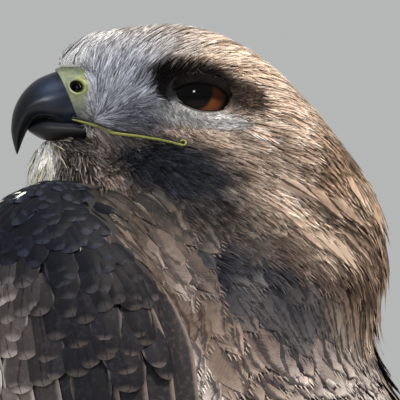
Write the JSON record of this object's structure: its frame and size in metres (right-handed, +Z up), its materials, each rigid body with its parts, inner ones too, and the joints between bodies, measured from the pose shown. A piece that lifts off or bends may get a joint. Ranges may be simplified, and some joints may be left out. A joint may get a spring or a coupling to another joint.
{
  "type": "bird of prey",
  "caption": "Life-size red-tailed hawk standing at rest, head turned over its left shoulder, wings folded.",
  "frame": {"origin": "on the floor under the middle of the model's box", "axes": "+Z up, the bird's breast faces -Y and its left side is +X"},
  "size_m": [0.1604, 0.3182, 0.374],
  "materials": {
    "crown_plumage": "matte",
    "mantle_plumage": "matte",
    "breast_plumage": "matte",
    "wing_plumage": "matte",
    "tail_plumage": "matte",
    "leg_plumage": "matte",
    "cere_skin": "satin",
    "bill_horn": "gloss",
    "leg_skin": "satin",
    "claw_horn": "gloss",
    "eye_gloss": "gloss"
  },
  "bodies": {
    "root": {"bill_lower": "bill_horn", "bill_upper": "bill_horn", "cere": "cere_skin", "claw_back_left": "claw_horn", "claw_back_right": "claw_horn", "claw_inner_left": "claw_horn", "claw_inner_right": "claw_horn", "claw_middle_left": "claw_horn", "claw_middle_right": "claw_horn", "claw_outer_left": "claw_horn", "claw_outer_right": "claw_horn", "eye_left": "eye_gloss", "eye_right": "eye_gloss", "foot_left": "leg_skin", "foot_right": "leg_skin", "head": "crown_plumage", "neck": "crown_plumage", "rump": "mantle_plumage", "shank_left": "leg_skin", "shank_right": "leg_skin", "tail": "tail_plumage", "thigh_left": "leg_plumage", "thigh_right": "leg_plumage", "torso": "breast_plumage", "wing_left": "wing_plumage", "wing_right": "wing_plumage"}
  },
  "joints": []
}
